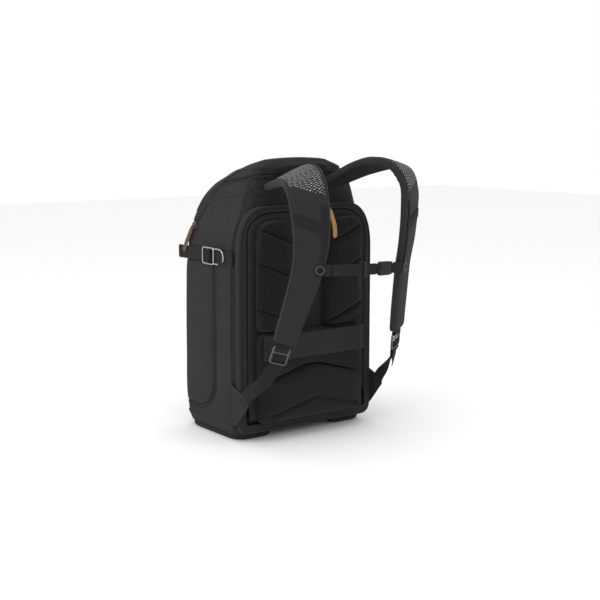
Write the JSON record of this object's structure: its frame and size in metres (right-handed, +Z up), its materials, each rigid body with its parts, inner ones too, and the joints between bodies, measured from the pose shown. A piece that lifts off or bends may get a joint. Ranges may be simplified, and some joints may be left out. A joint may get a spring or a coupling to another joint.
{
  "type": "camera backpack",
  "caption": "Charcoal camera backpack, zipped shut: padded grooved back panel, curved shoulder straps, chest strap, grab handle, wrapped front pocket, side hook buckles and leather zip pulls",
  "frame": {"origin": "on the floor, under the middle of the pack's outer box, with the pack standing on its feet", "axes": "+Z up; -Y towards the wearer's back, the side with the harness; +Y towards the front pocket; +X is the wearer's right"},
  "size_m": [0.3228, 0.3782, 0.5208],
  "materials": {
    "canvas": "matt woven polyester in charcoal with a slight purple tint",
    "pad": "soft matt knit over foam, near black",
    "webbing": "flat woven nylon webbing, near black",
    "perforated": "grey perforated spacer knit",
    "zip": "coated zip tape, semi-matt black",
    "leather": "smooth tan leather",
    "metal": "satin nickel-plated steel",
    "dark_metal": "gunmetal coating, satin",
    "plastic": "black acetal, lightly glossy",
    "rubber": "matt black moulded rubber"
  },
  "bodies": {
    "root": {"front_pocket": "canvas", "pocket_zip": "zip", "lid_panel": "canvas", "lid_zip": "zip", "body_shell": "canvas", "foot_right": "rubber", "foot_left": "rubber", "back_frame": "canvas", "back_zip": "zip", "back_door": "canvas", "upper_pad_right": "pad", "upper_pad_left": "pad", "mid_pad": "pad", "lumbar_pad": "pad", "luggage_sleeve": "canvas", "shoulder_strap_right": "pad", "shoulder_strap_left": "pad", "strap_patch_right": "perforated", "strap_patch_left": "perforated", "strap_rail_right": "webbing", "strap_rail_left": "webbing", "ladder_lock_right": "dark_metal", "ladder_lock_left": "dark_metal", "strap_tab_right": "webbing", "strap_tab_left": "webbing", "strap_wing_right": "canvas", "strap_wing_left": "canvas", "lower_webbing_right": "webbing", "lower_webbing_left": "webbing", "webbing_tail_right": "webbing", "webbing_tail_left": "webbing", "sternum_ring_left": "metal", "sternum_ring_right": "metal", "sternum_web_left": "webbing", "sternum_web_right": "webbing", "sternum_fold": "webbing", "sternum_keeper": "plastic", "buckle_socket": "plastic", "buckle_plug": "plastic", "compression_strap_right": "webbing", "compression_strap_left": "webbing", "ladder_buckle_right": "metal", "ladder_buckle_left": "metal", "buckle_hook_right": "metal", "buckle_hook_left": "metal", "compression_anchor_right": "webbing", "compression_anchor_left": "webbing", "grab_handle": "canvas", "back_zip_slider": "dark_metal", "back_zip_pull": "leather", "lid_zip_slider": "dark_metal", "lid_zip_pull": "leather"}
  },
  "joints": []
}
